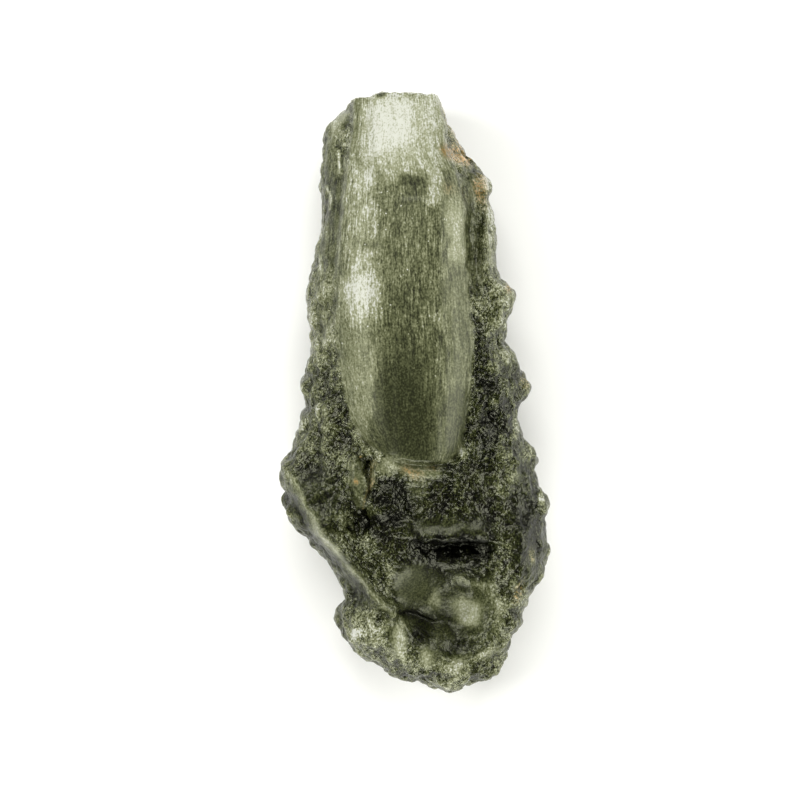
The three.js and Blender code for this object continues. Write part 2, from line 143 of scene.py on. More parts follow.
# What is on the top, painted in this order: an ellipse (at, half, turn), a stripe (at, to, width at both
# ends) or a scarp (at, to, reach), which is sharp along its line and dies away to the right of it. A
# higher power makes an ellipse squarer and a stripe's edges crisper. An ellipse is whole up to floor and
# gone at brim, in shares of half. lift raises or lowers the surface in mm. tone is how pale the glass is,
# from 0 black to 1 white, and below 0 stays black through the grain. stain is rust, polish is how smooth
# the skin is, streak how much it has flow lines. "on" keeps a mark on the barrel face or off it.
usualMark = {"turn": 0.0, "power": 2.0, "floor": 0.25, "brim": 1.15}
# Some tones below are painted light: painted sheens and highlights, and painted shade in hollows, as their
# comments say.
marks = [
    # the large forms
    {"name": "basin", "at": (2.6, -14.4), "half": (4.0, 3.6), "turn": 20, "lift": -2.2},
    {"name": "cliff under the ledge", "at": (-0.6, -9.8), "to": (6.2, -10.1), "reach": 1.5, "lift": -2.2},
    {"name": "groove beside the barrel", "at": (4.1, 11.0), "half": (0.7, 5.0), "turn": 3, "lift": -0.8},
    {"name": "pit left of the step", "at": (-4.0, -8.6), "half": (1.3, 1.9), "turn": 35, "lift": -1.0},
    {"name": "pit below the step", "at": (0.0, -7.6), "half": (1.2, 0.9), "turn": -10, "lift": -0.7},
    {"name": "drop at the ridge's foot", "at": (-2.5, -14.4), "to": (1.9, -15.8), "reach": 1.2,
     "lift": -0.8},
    {"name": "trough above the bottom rim", "at": (3.2, -17.7), "half": (2.0, 0.8), "turn": 6,
     "lift": -0.4},
    {"name": "chip at the shoulder", "at": (3.6, 16.6), "half": (1.3, 1.3), "turn": 40, "lift": -0.9},
    {"name": "upper left ridge", "at": (-8.6, -5.4), "to": (-6.0, -9.6), "width": (0.7, 0.7), "lift": 0.8},
    {"name": "lower left ridge", "at": (-6.0, -9.6), "to": (-1.6, -15.2), "width": (0.6, 0.6),
     "lift": 1.1},
    {"name": "ledge over the pit", "at": (0.6, -9.5), "to": (5.0, -9.5), "width": (0.7, 0.7), "lift": 0.4},
    {"name": "lip of the step", "at": (-1.6, -5.0), "to": (2.4, -5.3), "width": (0.5, 0.5), "lift": 0.35},
    {"name": "right shoulder rim", "at": (5.2, 14.6), "to": (5.6, 6.0), "width": (0.6, 0.6), "lift": 0.5},
    {"name": "right flank rib", "at": (4.6, 4.0), "to": (6.9, -4.6), "width": (0.3, 0.4), "lift": 0.35},
    {"name": "right basin rim", "at": (7.6, -9.0), "to": (6.6, -16.0), "width": (1.0, 1.0), "lift": 0.7},
    # tones of the flanks, from large to small
    {"name": "upper left flank", "at": (-6.0, 12.5), "half": (2.0, 7.0), "tone": 0.44, "on": "flank",
     "polish": 0.75, "streak": 0.9},
    {"name": "middle left flank", "at": (-6.4, 5.2), "half": (2.0, 4.2), "tone": 0.52, "on": "flank",
     "polish": 0.3, "streak": 0.4},
    {"name": "lower left flank", "at": (-6.8, -0.9), "half": (2.0, 3.2), "tone": 0.31, "on": "flank"},
    {"name": "left shoulder", "at": (-6.8, -7.0), "half": (2.6, 3.4), "tone": 0.12, "on": "flank",
     "polish": 0.4},
    {"name": "below the step", "at": (1.4, -9.6), "half": (5.6, 6.4), "tone": 0.08, "on": "flank",
     "floor": 0.5, "polish": 0.2},
    {"name": "round the basin", "at": (2.4, -15.6), "half": (4.6, 4.2), "tone": 0.24, "on": "flank",
     "polish": 0.5},
    {"name": "right flank", "at": (5.6, 6.4), "half": (1.5, 2.8), "tone": 0.44, "on": "flank"},
    {"name": "right margin", "at": (7.0, -0.6), "half": (1.6, 4.0), "tone": 0.13, "on": "flank"},
    {"name": "lower right margin", "at": (7.7, -8.6), "half": (1.8, 5.6), "tone": 0.06, "on": "flank",
     "polish": 0.3},
    {"name": "pale lump, right", "at": (7.0, -2.0), "half": (0.5, 0.9), "tone": 0.62, "on": "flank"},
    {"name": "pale lumps below it", "at": (7.7, -4.2), "half": (0.6, 0.7), "tone": 0.6, "on": "flank"},
    # painted glint on the right margin's lump
    {"name": "painted glint at the right edge", "at": (8.7, -7.4), "half": (0.35, 0.6), "tone": 0.85, "on": "flank"},
    {"name": "pale lump, left", "at": (-7.8, -2.1), "half": (0.6, 0.7), "tone": 0.5, "on": "flank"},
    {"name": "pale lump at the left margin", "at": (-8.3, -8.4), "half": (0.5, 0.7), "tone": 0.5,
     "on": "flank"},
    {"name": "right valley", "at": (4.5, 3.2), "to": (5.0, -4.2), "width": (0.6, 1.3), "tone": 0.0,
     "on": "flank"},
    {"name": "left valley", "at": (-5.6, 2.0), "to": (-4.6, -3.4), "width": (0.4, 0.8), "tone": 0.24,
     "on": "flank"},
    {"name": "dark streak, upper left", "at": (-5.8, 13.4), "half": (0.8, 2.6), "tone": 0.3,
     "on": "flank"},
    # painted glints: short white highlights on the upper left flank
    {"name": "painted glint at the top of the left flank", "at": (-5.25, 16.9), "to": (-5.2, 15.4), "width": (0.13, 0.13),
     "tone": 0.95},
    {"name": "painted glint below it", "at": (-6.05, 14.3), "to": (-5.95, 12.9), "width": (0.12, 0.12),
     "tone": 0.85},
    # painted highlight on the left flank
    {"name": "painted glint on the left flank", "at": (-6.4, 8.9), "half": (0.25, 0.8), "tone": 0.85},
    {"name": "facet at the corner", "at": (-5.3, 19.0), "half": (0.9, 1.8), "turn": -24, "tone": 0.72,
     "polish": 0.85, "streak": 0.5},
    {"name": "right groove", "at": (3.7, 15.4), "to": (4.1, 7.4), "width": (0.6, 0.6), "tone": 0.38,
     "on": "flank", "polish": 0.5, "streak": 0.8},
    {"name": "outer rim", "at": (5.1, 15.0), "to": (5.3, 9.2), "width": (0.55, 0.5), "tone": 0.72,
     "polish": 0.4, "streak": 0.6},
    {"name": "tan side of the broken end", "at": (2.3, 20.0), "to": (3.6, 16.6), "width": (0.7, 0.8),
     "tone": 0.72, "stain": 0.35, "polish": 0.4, "streak": 0.5, "on": "flank"},
    {"name": "chip face", "at": (3.2, 16.7), "half": (1.1, 0.9), "turn": -35, "tone": 0.6, "stain": 1.0,
     "polish": 0.2, "streak": 0.5},
    {"name": "red rust on the chip", "at": (2.35, 16.6), "half": (0.75, 0.6), "turn": -20, "stain": 1.0,
     "tone": 0.58},
    {"name": "rust on the outer rim", "at": (4.6, 14.4), "half": (0.7, 1.7), "stain": 0.7, "tone": 0.7},
    {"name": "rust above the yellow band", "at": (2.3, 14.0), "half": (0.7, 0.8), "stain": 0.4,
     "tone": 0.6},
    # the barrel face
    {"name": "pale left column", "at": (-3.65, 13.0), "half": (1.7, 4.8), "power": 3, "tone": 0.76,
     "on": "barrel"},
    {"name": "pale right of the painted sheen", "at": (1.3, 20.5), "to": (1.25, 16.5), "width": (0.9, 0.7),
     "tone": 0.83, "on": "barrel", "streak": 0.6},
    # painted sheen: the far lamp's broad reflection over the frosted top of the broken end, painted white
    {"name": "painted sheen at the broken end", "at": (-1.6, 18.2), "half": (3.1, 4.3), "power": 3, "tone": 1.0, "on": "barrel",
     "floor": 0.2, "streak": 0.45},
    {"name": "dark specks at the broken end", "at": (-2.5, 20.7), "to": (-1.6, 20.75), "width": (0.2, 0.2),
     "tone": 0.2},
    {"name": "grey above the block", "at": (-0.9, 15.8), "half": (2.5, 1.5), "tone": 0.78, "on": "barrel",
     "floor": 0.0},
    {"name": "upper centre", "at": (-0.2, 10.8), "half": (1.9, 3.4), "power": 3, "tone": 0.52,
     "on": "barrel"},
    {"name": "dark block", "at": (-0.2, 14.05), "half": (1.05, 1.05), "power": 6, "tone": 0.45,
     "on": "barrel", "floor": 0.8, "brim": 1.05, "lift": -0.06},
    {"name": "shade on the block", "at": (-0.3, 14.6), "half": (0.95, 0.45), "tone": 0.24, "on": "barrel"},
    {"name": "pale right column", "at": (1.3, 17.5), "to": (1.25, 13.2), "width": (0.75, 0.55), "power": 4,
     "tone": 0.79, "on": "barrel", "streak": 0.7},
    {"name": "line beside the yellow band", "at": (1.95, 12.2), "to": (2.25, 9.2), "width": (0.13, 0.13),
     "tone": 0.34},
    {"name": "yellow band", "at": (2.72, 11.0), "half": (0.72, 2.6), "turn": 4, "power": 5, "tone": 0.745,
     "on": "barrel", "floor": 0.5, "streak": 0.35},
    # painted shade in the dent above that sheen
    {"name": "dent above the painted sheen on the left", "at": (-3.0, 10.0), "half": (1.0, 0.4), "turn": -12,
     "tone": 0.46, "lift": -0.08},
    # painted sheen: the left lamp's reflection on the face's left side, painted pale
    {"name": "painted sheen on the left", "at": (-3.6, 6.9), "half": (2.1, 3.4), "power": 2.2, "tone": 0.98,
     "on": "barrel", "floor": 0.05, "lift": 0.1, "streak": 0.75},
    {"name": "middle centre", "at": (-0.75, 4.2), "half": (1.6, 4.2), "power": 3, "tone": 0.42,
     "on": "barrel", "floor": 0.35},
    {"name": "grey patch", "at": (0.9, 5.3), "half": (0.8, 1.6), "tone": 0.52, "on": "barrel"},
    {"name": "right band", "at": (2.9, 7.8), "to": (2.85, -0.5), "width": (1.0, 1.0), "tone": 0.505,
     "on": "barrel", "streak": 0.7, "power": 4},
    {"name": "right band's foot", "at": (2.8, -0.5), "to": (2.7, -4.0), "width": (1.0, 0.65), "tone": 0.35,
     "on": "barrel", "streak": 0.5, "power": 6},
    {"name": "lower centre", "at": (-0.7, -2.4), "half": (2.7, 6.4), "power": 2.6, "tone": 0.26,
     "on": "barrel", "floor": 0.35, "streak": 0.3},
    {"name": "lower grey patch", "at": (1.0, 0.9), "half": (0.7, 0.9), "tone": 0.45, "on": "barrel"},
    # painted sheen of the left lamp along the face's left edge, with painted glow of light through the thin
    # glass there
    {"name": "left band", "at": (-3.8, 2.8), "to": (-3.6, -3.6), "width": (1.3, 0.42), "tone": 0.63,
     "on": "barrel", "streak": 0.6, "power": 8},
    {"name": "glint at the foot", "at": (3.2, -3.9), "half": (0.25, 0.6), "tone": 0.8},
    # the step and what lies below it
    {"name": "olive slope under the lip", "at": (0.2, -6.4), "half": (1.0, 1.1), "tone": 0.42,
     "polish": 0.4},
    {"name": "lip", "at": (-1.7, -4.9), "to": (1.6, -5.3), "width": (0.7, 0.45), "tone": 0.55,
     "polish": 0.7},
    {"name": "pale end of the lip", "at": (-1.8, -4.9), "half": (0.8, 0.6), "tone": 0.64, "polish": 0.6},
    {"name": "rust on the lip", "at": (-0.2, -5.4), "half": (1.0, 0.55), "turn": -10, "stain": 0.6,
     "tone": 0.62},
    {"name": "rust right of it", "at": (1.2, -5.0), "half": (0.7, 0.25), "stain": 0.5},
    {"name": "dark beside the splinter", "at": (-1.9, -6.9), "half": (1.2, 1.5), "tone": -0.08},
    {"name": "dark left of the splinter", "at": (-5.0, -6.6), "half": (0.9, 2.0), "turn": 8, "tone": 0.14},
    {"name": "leaf of the splinter", "at": (-3.95, -6.0), "half": (0.62, 2.0), "turn": 4, "lift": 0.5,
     "tone": 0.44, "polish": 0.6, "floor": 0.5},
    # painted shade in the gap, which is sunk into the splinter
    {"name": "gap in the splinter", "at": (-3.05, -4.6), "to": (-3.35, -6.9), "width": (0.16, 0.12),
     "lift": -0.5, "tone": 0.0},
    {"name": "blade's head", "at": (-2.75, -4.7), "to": (-3.0, -6.0), "width": (0.16, 0.14), "lift": 0.3,
     "tone": 0.55, "stain": 0.4, "polish": 0.5},
    {"name": "blade's foot", "at": (-3.0, -6.0), "to": (-3.55, -7.8), "width": (0.14, 0.12), "lift": 0.3,
     "tone": 0.55, "stain": 0.6, "polish": 0.5},
    {"name": "dark shoulder", "at": (2.6, -6.9), "half": (1.9, 1.8), "tone": 0.05, "polish": 0.0},
    {"name": "dark patch left of it", "at": (-1.9, -8.6), "half": (1.2, 1.2), "tone": -0.1},
    # painted shade in the pit left of the step
    {"name": "black pit, left", "at": (-3.5, -8.8), "half": (0.9, 1.1), "turn": 35, "tone": -0.15},
    {"name": "ledge", "at": (0.2, -9.2), "to": (4.3, -9.25), "width": (0.55, 0.5), "tone": 0.24,
     "polish": 0.75},
    # painted shade under the ledge's overhang and in the pit below it
    {"name": "black pit", "at": (-0.6, -9.8), "to": (6.0, -10.1), "reach": 1.3, "tone": -0.25,
     "polish": 0.0},
    # the deepest painted shade, where the pit is sunk further
    {"name": "heart of the pit", "at": (2.5, -10.45), "half": (2.5, 0.85), "power": 2.4, "tone": -0.55,
     "polish": 0.0, "lift": -0.3, "floor": 0.05},
    {"name": "grains below the pit", "at": (2.6, -11.7), "half": (2.3, 0.7), "tone": -0.04, "polish": 0.1},
    {"name": "grey lumps left of the pit", "at": (-3.4, -10.3), "half": (1.0, 0.9), "turn": -40,
     "tone": 0.36},
    {"name": "smooth round the windows", "at": (1.8, -14.6), "half": (4.2, 3.3), "polish": 0.7},
    {"name": "basin floor", "at": (-0.2, -13.1), "half": (1.6, 1.8), "tone": 0.33, "polish": 0.9,
     "floor": 0.5},
    {"name": "pale ribs", "at": (-1.9, -12.2), "to": (-1.8, -14.1), "width": (0.35, 0.35), "tone": 0.5},
    {"name": "arc over the window", "at": (3.0, -12.9), "to": (5.4, -13.4), "width": (0.35, 0.35),
     "tone": 0.54},
    {"name": "dark lump under the arc", "at": (4.1, -13.5), "half": (0.6, 0.4), "tone": 0.34},
    # painted glow of light through the basin's thin floor
    {"name": "window", "at": (3.7, -15.25), "half": (1.35, 1.3), "power": 2.6, "tone": 0.765, "polish": 1.0,
     "floor": 0.4},
    {"name": "small window", "at": (1.5, -14.3), "half": (0.6, 0.95), "tone": 0.58, "polish": 0.85,
     "floor": 0.3},
    {"name": "streak beside the window", "at": (5.6, -14.0), "to": (6.0, -17.0), "width": (0.65, 0.5),
     "tone": 0.54},
    # painted shade in the drop at the ridge's foot
    {"name": "black slit", "at": (-2.6, -14.2), "to": (1.4, -15.5), "reach": 0.7, "tone": -0.2},
    {"name": "dark below the slit", "at": (0.4, -16.6), "half": (1.0, 1.0), "tone": 0.06},
    {"name": "trough", "at": (3.1, -17.75), "half": (1.7, 0.75), "power": 3, "tone": 0.06, "polish": 0.5},
    {"name": "bottom rim", "at": (2.4, -19.3), "to": (5.8, -17.9), "width": (0.9, 0.6), "tone": 0.5},
    {"name": "right fold of the bottom rim", "at": (5.2, -17.95), "half": (1.1, 0.42), "turn": 18,
     "tone": 0.68, "lift": 0.25, "polish": 0.4},
    {"name": "middle fold of the bottom rim", "at": (2.8, -19.0), "half": (1.1, 0.42), "turn": 14,
     "tone": 0.68, "lift": 0.25, "polish": 0.4},
    {"name": "lower fold of the bottom rim", "at": (1.9, -20.2), "half": (1.1, 0.5), "turn": -8,
     "tone": 0.6, "lift": 0.2, "polish": 0.3},
    {"name": "gap between the folds", "at": (4.1, -18.9), "half": (0.55, 0.35), "turn": 20, "tone": 0.14},
    {"name": "slope below the ridge", "at": (-8.4, -7.4), "to": (-3.4, -14.2), "width": (0.9, 0.9),
     "tone": 0.16, "polish": 0.5},
    {"name": "ridge line, upper", "at": (-8.8, -5.4), "to": (-6.2, -10.1), "width": (0.3, 0.3),
     "tone": 0.64, "polish": 0.6},
    {"name": "ridge line, lower", "at": (-6.2, -10.1), "to": (-1.6, -15.1), "width": (0.3, 0.25),
     "tone": 0.64, "polish": 0.6},
    {"name": "lump at the lower left", "at": (-3.3, -16.6), "half": (2.0, 2.1), "tone": 0.5},
    # painted highlight of the left lamp on the lump
    {"name": "painted highlight on the lump", "at": (-4.2, -16.6), "half": (0.7, 0.5), "tone": 0.95},
    {"name": "fan", "at": (-1.1, -17.1), "half": (0.65, 1.5), "turn": 10, "tone": 0.79, "polish": 0.85,
     "lift": 0.2},
    {"name": "second fan", "at": (0.9, -18.3), "half": (0.65, 1.1), "turn": 15, "tone": 0.7,
     "polish": 0.8},
    {"name": "rust on the right margin", "at": (7.2, -13.6), "half": (0.4, 1.2), "turn": -15, "stain": 0.6,
     "tone": 0.62},
    {"name": "rust specks, right", "at": (8.2, -11.0), "half": (0.4, 1.0), "stain": 0.35, "tone": 0.5},
    {"name": "rust on the right lump", "at": (7.6, 0.9), "half": (0.35, 1.0), "stain": 0.35, "tone": 0.6},
    {"name": "rust on the upper right lump", "at": (6.5, 7.3), "half": (0.35, 0.5), "stain": 0.7,
     "tone": 0.62},
    {"name": "rust at the splinter's head", "at": (-3.6, -4.2), "half": (0.2, 0.2), "stain": 1.0,
     "tone": 0.7},
    {"name": "rust on the leaf", "at": (-4.2, -6.0), "half": (0.2, 0.25), "stain": 1.0, "tone": 0.7},
]
print("stone described:", len(marks), "marks,", len(lumps), "single lumps")


# a share that goes smoothly from 0 at low to 1 at high
def smoothRise(value, low, high):
    t = np.clip((value - low) / (high - low), 0.0, 1.0)
    return t * t * (3.0 - 2.0 * t)


# the power of a value's size, with its sign kept
def signedPower(value, power):
    return np.sign(value) * np.abs(value) ** power


# vectors brought to length 1; a vector of no length stays as it is
def unit(vectors):
    length = np.linalg.norm(vectors, axis=-1, keepdims=True)
    return vectors / np.where(length > 0.0, length, 1.0)


# a smooth curve through (y, value) pairs that run down in y: a cubic between each two points, with the
# slope at a point taken from the points beside it
def along(pairs, y):
    ys, values = np.array(pairs, float)[::-1].T
    last = len(ys) - 1
    here = np.arange(last + 1)
    before, after = np.maximum(here - 1, 0), np.minimum(here + 1, last)
    slope = (values[after] - values[before]) / (ys[after] - ys[before])
    y = np.clip(y, ys[0], ys[-1])
    i = np.clip(np.searchsorted(ys, y, side="right") - 1, 0, last - 1)
    span = ys[i + 1] - ys[i]
    t = (y - ys[i]) / span
    ease = t * t * (3.0 - 2.0 * t)
    bend = t * (1.0 - t) ** 2 * slope[i] + t * t * (t - 1.0) * slope[i + 1]
    return values[i] + (values[i + 1] - values[i]) * ease + span * bend


# Uneven numbers for the scatter below, which have no other meaning.
scatterWave = {"mix": (127.1, 311.7, 74.7), "step": 53.3, "scale": 43758.5453}


# three repeatable numbers from 0 to 1 for each cell of space: the fraction of a large multiple of a sine
def scatter(cell, seed):
    wave = (cell * scatterWave["mix"]).sum(-1, keepdims=True) + (seed + np.arange(3)) * scatterWave["step"]
    wave = np.sin(wave) * scatterWave["scale"]
    return wave - np.floor(wave)


# packed round lumps: 1 less the squared distance, in cells, to the nearest of one random centre per cell
def packedLumps(points, cell, seed):
    scaled = points / cell
    base = np.floor(scaled)
    nearest = np.full(points.shape[:-1], np.inf)
    for step in itertools.product((-1, 0, 1), repeat=3):
        corner = base + step
        away = ((corner + scatter(corner, seed) - scaled) ** 2).sum(-1)
        nearest = np.minimum(nearest, away)
    return 1.0 - nearest


# soft noise from 0 to 1: a random value per cell corner, blended smoothly inside the cell
def softNoise(points, cells, seed):
    scaled = points / np.array(cells, float)
    base = np.floor(scaled)
    t = smoothRise(scaled - base, 0.0, 1.0)
    total = np.zeros(points.shape[:-1])
    for corner in itertools.product((0, 1), repeat=3):
        weight = np.where(np.array(corner) > 0, t, 1.0 - t).prod(-1)
        total += weight * scatter(base + corner, seed)[..., 0]
    return total


# soft noise over x and y alone, from -0.5 to 0.5
def planNoise(points, across, lengthwise, seed):
    flat = points * (1.0, 1.0, 0.0)
    return softNoise(flat, (across, lengthwise, 1.0), seed) - 0.5


# the stone before carving: a superellipse ring at each station along y, from the outline's half width and
# the heights of rim and crown, closed by a round cap at each end. Gives the points, the way out of the
# ring, and how far each point is up on the top and out on an end.
def bareStone(shape):
    v = np.linspace(0.0, 1.0, shape["rings"] + 1)[:, None]
    turn = np.linspace(0.0, 2.0 * np.pi, shape["around"], endpoint=False)[None, :]
    cap = shape["capShare"]
    first, last = shape["leftEdge"][0][0], shape["leftEdge"][-1][0]
    station = first + (last - first) * np.clip((v - cap) / (1.0 - 2.0 * cap), 0.0, 1.0)
    intoCap = np.clip(np.maximum(1.0 - v / cap, 1.0 - (1.0 - v) / cap), 0.0, None)
    bulge = np.sin(intoCap * np.pi / 2.0)
    scale = np.cos(intoCap * np.pi / 2.0)
    endward = np.where(v < 0.5, bulge, -bulge)
    y = station + np.where(v < 0.5, shape["brokenCap"], shape["bluntCap"]) * endward
    angle = turn + shape["topCrowding"] * np.cos(turn)
    left, right = along(shape["leftEdge"], station), along(shape["rightEdge"], station)
    rim = along(shape["rim"], station)
    rise = np.where(np.sin(angle) > 0.0, along(shape["crown"], station) - rim, rim + shape["backDepth"])
    side = scale * signedPower(np.cos(angle), shape["sideFullness"])
    lift = scale * signedPower(np.sin(angle), shape["domeFullness"])
    halfWidth = (right - left) / 2.0
    points = np.stack(np.broadcast_arrays((left + right) / 2.0 + halfWidth * side, y, rim + rise * lift), -1)
    outward = unit(np.stack(np.broadcast_arrays(side * rise, 0.0, lift * halfWidth), -1)) * scale[..., None]
    outward[..., 1] = endward
    atEnd = smoothRise(points[..., 1], shape["brokenEdgeFrom"], first)
    points[..., 1] += along(shape["brokenEdge"], points[..., 0]) * atEnd
    upward = smoothRise(lift, *shape["top"])
    return points, unit(outward), upward, np.broadcast_to(np.abs(endward), lift.shape)


# how far a point lies inside the barrel face's edges, from 0 to 1
def barrelShare(x, y):
    end = barrel["end"] + barrel["endCurve"] * (x - barrel["endAt"]) ** 2
    inside = np.minimum(x - along(barrel["left"], y), along(barrel["right"], y) - x)
    return smoothRise(np.minimum(inside, y - end), -barrel["edgeWidth"] / 2.0, barrel["edgeWidth"] / 2.0)


# the barrel face's height: its crest, less a cubic fall to both sides
def barrelHeight(x, y):
    left, right = along(barrel["left"], y), along(barrel["right"], y)
    across = np.clip((2.0 * x - left - right) / (right - left), -barrel["reach"], barrel["reach"])
    return along(barrel["crest"], y) - along(barrel["sideFall"], y) * np.abs(across) ** 3


# the share of a mark at (x, y): a soft-edged ellipse, a stripe that falls off like a bell with the
# distance from its line, or for a scarp a steep rise just right of its line that dies away like a bell and
# tapers like a lens to both ends
def markShare(mark, x, y):
    mark = {**usualMark, **mark}
    dx, dy = x - mark["at"][0], y - mark["at"][1]
    if "to" in mark:
        runX, runY = mark["to"][0] - mark["at"][0], mark["to"][1] - mark["at"][1]
        t = np.clip((dx * runX + dy * runY) / (runX**2 + runY**2), 0.0, 1.0)
        if "reach" in mark:
            right = (dx * runY - dy * runX) / math.hypot(runX, runY)
            bell = smoothRise(right, 0.0, skin["scarpEdge"]) * np.exp(-((right / mark["reach"]) ** 2))
            return bell * 4.0 * t * (1.0 - t)
        width = mark["width"][0] + (mark["width"][1] - mark["width"][0]) * t
        return np.exp(-((np.hypot(dx - t * runX, dy - t * runY) / width) ** mark["power"]))
    turn = math.radians(mark["turn"])
    u = (dx * math.cos(turn) + dy * math.sin(turn)) / mark["half"][0]
    w = (dy * math.cos(turn) - dx * math.sin(turn)) / mark["half"][1]
    away = (np.abs(u) ** mark["power"] + np.abs(w) ** mark["power"]) ** (1.0 / mark["power"])
    return 1.0 - smoothRise(away, mark["floor"], mark["brim"])


# x and y of the points, shifted by soft noise so that the marks' edges are not drawn with a compass
def warped(points, cell, amount):
    cells = (cell, skin["warpStretch"] * cell)
    shift = [amount * planNoise(points, *cells, seed) for seed in skin["warpSeeds"]]
    return points[..., 0] + shift[0], points[..., 1] + shift[1]


# how far the marks raise the surface, all added together
def markLift(x, y):
    return sum(mark["lift"] * markShare(mark, x, y) for mark in marks if "lift" in mark)


# an effect of the marks painted over a start value, each mark over those before it
def painted(effect, start, x, y, onBarrel, facing):
    value = np.zeros(x.shape) + start
    kept = {"barrel": onBarrel, "flank": 1.0 - onBarrel}
    for mark in marks:
        if effect in mark:
            share = markShare(mark, x, y) * kept.get(mark.get("on"), 1.0) * facing
            value += (mark[effect] - value) * share
    return value


# the way out of a closed grid surface: the steps around crossed with the steps along
def gridNormals(points):
    around = np.roll(points, -1, axis=1) - np.roll(points, 1, axis=1)
    lengthwise = np.gradient(points, axis=0)
    normals = unit(np.cross(around, lengthwise))
    normals[0], normals[-1] = (0.0, 1.0, 0.0), (0.0, -1.0, 0.0)
    return normals


# the bare stone with its large forms: the coarse skin and the single lumps pushed out of the ring, the top
# carved, and the back worn flat at z = 0. Also gives the relief of the skin so far.
def roughedOut(bare, outward, upward, share, polish):
    x, y, z = np.moveaxis(bare, -1, 0)
    relief = np.zeros(x.shape)
    push = np.zeros(x.shape)
    for layer in skin["coarse"]:
        height = packedLumps(bare, layer["cell"], layer["seed"]) - skin["middle"]
        push += layer["height"] * height
        relief += height
    calmFrom, calmTo, calmShare = skin["calm"]
    push *= (1.0 - polish) * (1.0 - calmShare * smoothRise(y, calmFrom, calmTo))
    for at, radius, height in lumps:
        away = np.sqrt((x - at[0]) ** 2 + (y - at[1]) ** 2 + ((z - at[2]) / skin["lumpTallness"]) ** 2)
        push += height * np.exp(-((away / radius) ** 2))
    top = z + (barrelHeight(x, y) - z) * share + markLift(*warped(bare, *skin["formWarp"]))
    points = bare.copy()
    points[..., 2] = z + (top - z) * upward
    points += outward * push[..., None]
    points[..., 2] = np.maximum(points[..., 2], 0.0)
    return points, relief


# the fine skin, and on the barrel face the waves, pushed out of the carved surface
def fineSkin(points, relief, smooth, polish):
    normals = gridNormals(points)
    steep = 1.0 - smoothRise(normals[..., 2], *skin["steep"])
    relief = relief.copy()
    push = np.zeros(relief.shape)
    for layer in skin["fine"]:
        height = packedLumps(points / skin["stretch"], layer["cell"], layer["seed"]) - skin["middle"]
        height *= (layer["onTop"] + (1.0 - layer["onTop"]) * steep) * (1.0 - polish)
        push += layer["height"] * height
        relief += height
    for wave in barrel["waves"]:
        push += wave["height"] * planNoise(points, *wave["cells"], wave["seed"]) * smooth
    points = points + normals * push[..., None]
    points[..., 2] = np.maximum(points[..., 2], 0.0)
    return points, relief


# what the glass reads at each point: the painted tones, some of which are painted shade and sheens, rust
# and streaks, how smooth and how speckled the skin is, its relief, from which the shader paints shade into
# the hollows and light onto the lumps, and the place across the barrel face in mm
def stoneLooks(points, relief, upward, share, smooth, polish):
    facing = smoothRise(gridNormals(points)[..., 2], *skin["facing"])
    x, y = warped(points, *skin["toneWarp"])
    onFace = upward * share
    tone = stone["flankTone"] + (barrel["tone"] - stone["flankTone"]) * onFace
    speckle = (1.0 - polish) * (skin["sideSpeckle"] + (1.0 - skin["sideSpeckle"]) * facing)
    left, right = along(barrel["left"], y), along(barrel["right"], y)
    return {
        "tone": painted("tone", tone, x, y, onFace, facing),
        "stain": painted("stain", 0.0, x, y, onFace, facing),
        "polish": polish,
        "speckle": speckle,
        "relief": relief * speckle,
        "streak": painted("streak", smooth, x, y, onFace, facing),
        "across": (2.0 * points[..., 0] - left - right) / (right - left) * barrel["halfWidth"],
    }


# the finished stone: roughed out, given its fine skin, and its looks read off
def carvedStone():
    bare, outward, upward, endward = bareStone(stone)
    x, y = bare[..., 0], bare[..., 1]
    share = barrelShare(x, y)
    smooth = upward * smoothRise(share, *barrel["smooth"]) * (1.0 - endward)
    polish = painted("polish", smooth, x, y, smooth, upward)
    points, relief = roughedOut(bare, outward, upward, share, polish)
    points, relief = fineSkin(points, relief, smooth, polish)
    return points, stoneLooks(points, relief, upward, share, smooth, polish)


# a closed mesh from a grid whose first and last rows are poles: quads between the rings, a fan at each pole
def poleMesh(name, points, looks):
    rows, around = points.shape[:2]
    inner = points[1:-1].reshape(-1, 3)
    vertices = np.vstack([points[0, :1], inner, points[-1, :1]])
    index = 1 + np.arange((rows - 2) * around).reshape(rows - 2, around)
    beside = np.roll(index, -1, axis=1)
    quads = np.stack([index[:-1], beside[:-1], beside[1:], index[1:]], -1).reshape(-1, 4)
    firstPole, lastPole = np.zeros(around, int), np.full(around, len(vertices) - 1)
    fans = np.vstack([
        np.stack([firstPole, beside[0], index[0]], -1),
        np.stack([lastPole, index[-1], beside[-1]], -1),
    ])
    mesh = bpy.data.meshes.new(name)
    mesh.from_pydata((vertices * millimetre).tolist(), [], quads.tolist() + fans.tolist())
    for look, values in looks.items():
        attribute = mesh.attributes.new(look, "FLOAT", "POINT")
        flat = np.concatenate([values[0, :1], values[1:-1].ravel(), values[-1, :1]])
        attribute.data.foreach_set("value", flat.astype(np.float32))
    mesh.polygons.foreach_set("use_smooth", np.ones(len(mesh.polygons), bool))
    mesh.update()
    piece = bpy.data.objects.new(name, mesh)
    bpy.context.scene.collection.objects.link(piece)
    return piece


